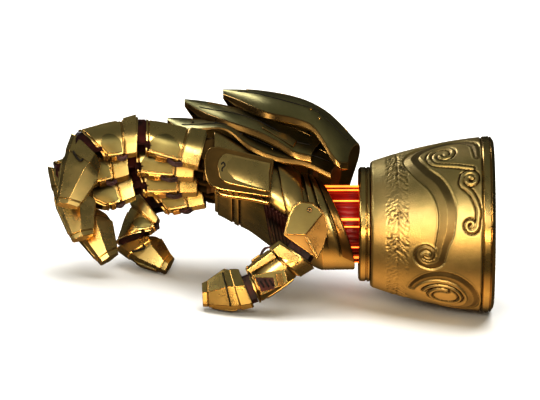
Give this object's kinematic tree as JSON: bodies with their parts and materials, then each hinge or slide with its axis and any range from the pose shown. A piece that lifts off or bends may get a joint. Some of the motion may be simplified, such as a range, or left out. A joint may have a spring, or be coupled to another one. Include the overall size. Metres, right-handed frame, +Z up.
{
  "type": "armoured gauntlet",
  "caption": "Gold articulated right-hand gauntlet: flared scrollwork cuff, glowing wrist core, stacked pointed back plates and jointed claw-tipped fingers.",
  "frame": {"origin": "middle of the bounding box at the level of the surface that the gauntlet rests on", "axes": "+X towards the elbow along the arm, +Z up off the surface, +Y towards the little-finger side"},
  "size_m": [0.4244, 0.1912, 0.1741],
  "materials": {
    "gold": "polished gold-coloured metal with a fine satin grain and darker tarnish in the recesses",
    "dark_gold": "satin, darker olive gold with brighter worn edges",
    "inner_red": "dark red semi-gloss paint",
    "glow_core": "red translucent core that glows red, with brighter orange-yellow bars"
  },
  "bodies": {
    "hand": {"cuff_shell": "gold", "cuff_rim": "gold", "cuff_front_ring": "gold", "wrist_core": "glow_core", "hand_shell": "gold", "palm_plate": "gold", "side_plate": "gold", "heel_band": "gold", "index_cheek": "gold", "back_plate_low": "dark_gold", "back_plate_mid": "dark_gold", "back_plate_top": "dark_gold", "plate_post_1": "dark_gold", "plate_post_2": "dark_gold", "index_knuckle_1": "inner_red", "middle_knuckle_1": "inner_red", "ring_knuckle_1": "inner_red", "little_knuckle_1": "inner_red", "thumb_mount": "inner_red"},
    "index_1": {"index_proximal": "gold", "index_knuckle_2": "inner_red"},
    "index_2": {"index_middle": "gold", "index_knuckle_3": "inner_red"},
    "index_3": {"index_claw": "gold"},
    "middle_1": {"middle_proximal": "gold", "middle_knuckle_2": "inner_red"},
    "middle_2": {"middle_middle": "gold", "middle_knuckle_3": "inner_red"},
    "middle_3": {"middle_claw": "gold"},
    "ring_1": {"ring_proximal": "gold", "ring_knuckle_2": "inner_red"},
    "ring_2": {"ring_middle": "gold", "ring_knuckle_3": "inner_red"},
    "ring_3": {"ring_claw": "gold"},
    "little_1": {"little_proximal": "gold", "little_knuckle_2": "inner_red"},
    "little_2": {"little_middle": "gold", "little_knuckle_3": "inner_red"},
    "little_3": {"little_claw": "gold"},
    "thumb_1": {"thumb_base": "gold", "thumb_knuckle_2": "inner_red"},
    "thumb_2": {"thumb_middle": "gold", "thumb_knuckle_3": "inner_red"},
    "thumb_3": {"thumb_claw": "gold"}
  },
  "joints": [
    {"name": "index_hinge_1", "type": "hinge", "parent": "hand", "child": "index_1", "pos_m": [-0.06038, -0.00065, 0.12569], "axis": [0.0148, -0.7756, 0.6311], "range_deg": [-6, 30]},
    {"name": "index_hinge_2", "type": "hinge", "parent": "index_1", "child": "index_2", "pos_m": [-0.12659, 0.00619, 0.13566], "axis": [0.0148, -0.7756, 0.6311], "range_deg": [-20, 20]},
    {"name": "index_hinge_3", "type": "hinge", "parent": "index_2", "child": "index_3", "pos_m": [-0.17591, -0.00371, 0.12465], "axis": [0.0148, -0.7756, 0.6311], "range_deg": [-14, 14]},
    {"name": "middle_hinge_1", "type": "hinge", "parent": "hand", "child": "middle_1", "pos_m": [-0.06601, 0.02124, 0.10975], "axis": [-0.0548, -0.7775, 0.6265], "range_deg": [-15, 30]},
    {"name": "middle_hinge_2", "type": "hinge", "parent": "middle_1", "child": "middle_2", "pos_m": [-0.13381, 0.02422, 0.10751], "axis": [-0.0548, -0.7775, 0.6265], "range_deg": [-20, 20]},
    {"name": "middle_hinge_3", "type": "hinge", "parent": "middle_2", "child": "middle_3", "pos_m": [-0.19146, 0.01357, 0.08926], "axis": [-0.0548, -0.7775, 0.6265], "range_deg": [-12, 12]},
    {"name": "ring_hinge_1", "type": "hinge", "parent": "hand", "child": "ring_1", "pos_m": [-0.06287, 0.04016, 0.09104], "axis": [-0.0548, -0.7775, 0.6265], "range_deg": [-15, 30]},
    {"name": "ring_hinge_2", "type": "hinge", "parent": "ring_1", "child": "ring_2", "pos_m": [-0.12842, 0.03871, 0.08351], "axis": [-0.0548, -0.7775, 0.6265], "range_deg": [-20, 20]},
    {"name": "ring_hinge_3", "type": "hinge", "parent": "ring_2", "child": "ring_3", "pos_m": [-0.18014, 0.02372, 0.06038], "axis": [-0.0548, -0.7775, 0.6265], "range_deg": [-12, 12]},
    {"name": "little_hinge_1", "type": "hinge", "parent": "hand", "child": "little_1", "pos_m": [-0.05578, 0.05953, 0.07309], "axis": [-0.227, -0.7657, 0.6019], "range_deg": [-15, 25]},
    {"name": "little_hinge_2", "type": "hinge", "parent": "little_1", "child": "little_2", "pos_m": [-0.11278, 0.06269, 0.05561], "axis": [-0.227, -0.7657, 0.6019], "range_deg": [-15, 15]},
    {"name": "little_hinge_3", "type": "hinge", "parent": "little_2", "child": "little_3", "pos_m": [-0.12643, 0.04033, 0.02202], "axis": [-0.227, -0.7657, 0.6019], "range_deg": [-12, 12]},
    {"name": "thumb_hinge_1", "type": "hinge", "parent": "hand", "child": "thumb_1", "pos_m": [0.03332, -0.05869, 0.0907], "axis": [0.0254, 0.9565, -0.2908], "range_deg": [-15, 15]},
    {"name": "thumb_hinge_2", "type": "hinge", "parent": "thumb_1", "child": "thumb_2", "pos_m": [0.02655, -0.06762, 0.06073], "axis": [0.0254, 0.9565, -0.2908], "range_deg": [-14, 14]},
    {"name": "thumb_hinge_3", "type": "hinge", "parent": "thumb_2", "child": "thumb_3", "pos_m": [-0.01594, -0.07763, 0.02408], "axis": [0.0254, 0.9565, -0.2908], "range_deg": [-14, 14]}
  ]
}
